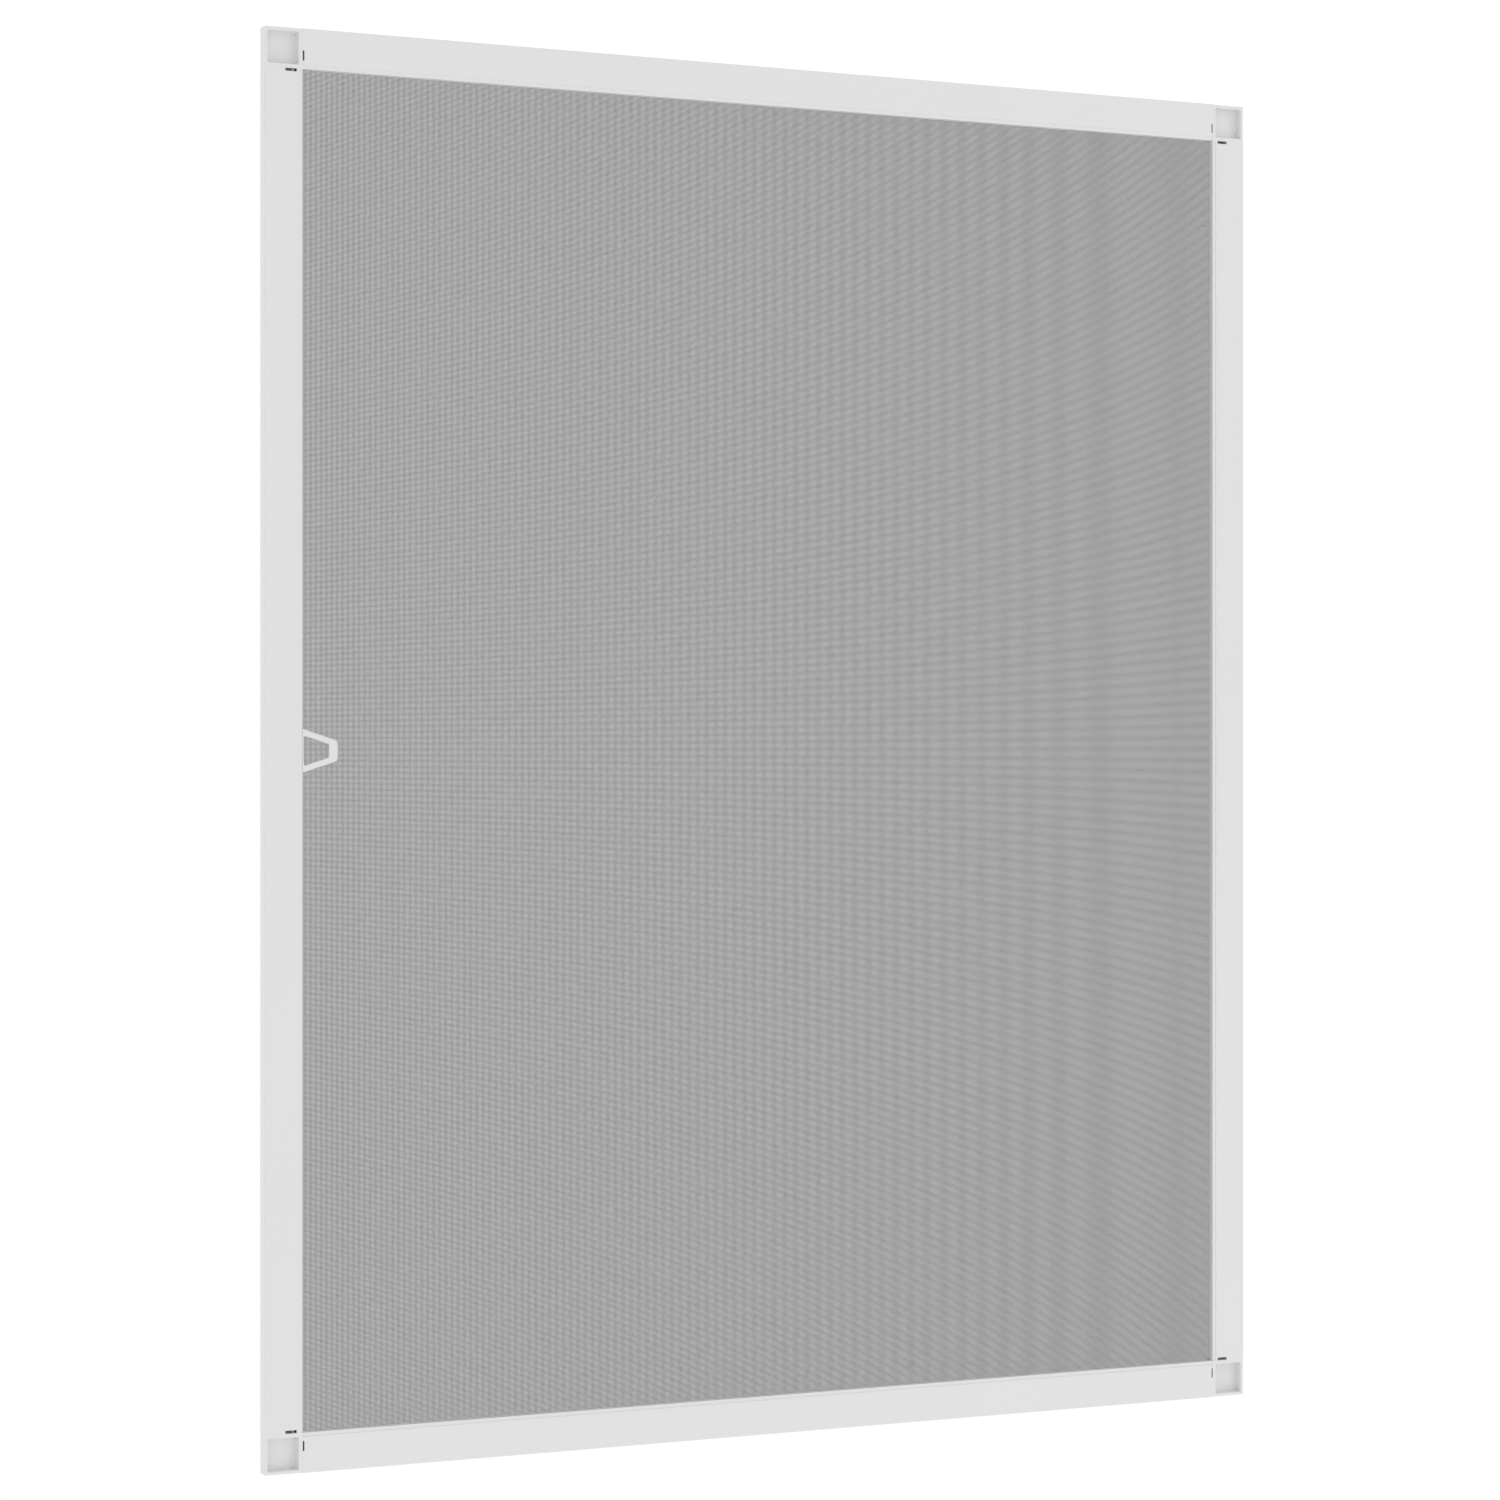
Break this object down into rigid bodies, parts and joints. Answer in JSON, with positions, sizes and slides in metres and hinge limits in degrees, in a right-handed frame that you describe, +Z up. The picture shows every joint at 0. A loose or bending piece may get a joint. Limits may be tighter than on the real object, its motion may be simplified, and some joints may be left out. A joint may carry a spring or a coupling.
{
  "type": "window screen frame",
  "caption": "Rectangular white aluminium frame with moulded corner connectors, grey insect mesh held by splines in a groove, and a small pull loop on one stile.",
  "frame": {"origin": "middle of the bottom edge of the frame, half way through its depth", "axes": "+Z up the stiles, +X from the pull loop's stile to the other one, +Y from the room side to the window side"},
  "size_m": [0.8, 0.009, 1],
  "materials": {
    "painted_frame": "white powder coat on extruded aluminium, fine satin texture",
    "corner_plastic": "white moulded plastic, matte",
    "mesh_yarn": "dark grey coated glass-fibre yarn, open weave",
    "spline_rubber": "dark grey rubber cord, matte",
    "loop_plastic": "white moulded plastic, smooth"
  },
  "bodies": {
    "root": {"stile_left": "painted_frame", "stile_right": "painted_frame", "rail_bottom": "painted_frame", "rail_top": "painted_frame", "corner_bottom_left": "corner_plastic", "corner_bottom_right": "corner_plastic", "corner_top_left": "corner_plastic", "corner_top_right": "corner_plastic", "insect_mesh": "mesh_yarn", "spline_left": "spline_rubber", "spline_right": "spline_rubber", "spline_bottom": "spline_rubber", "spline_top": "spline_rubber", "pull_loop": "loop_plastic"}
  },
  "joints": []
}
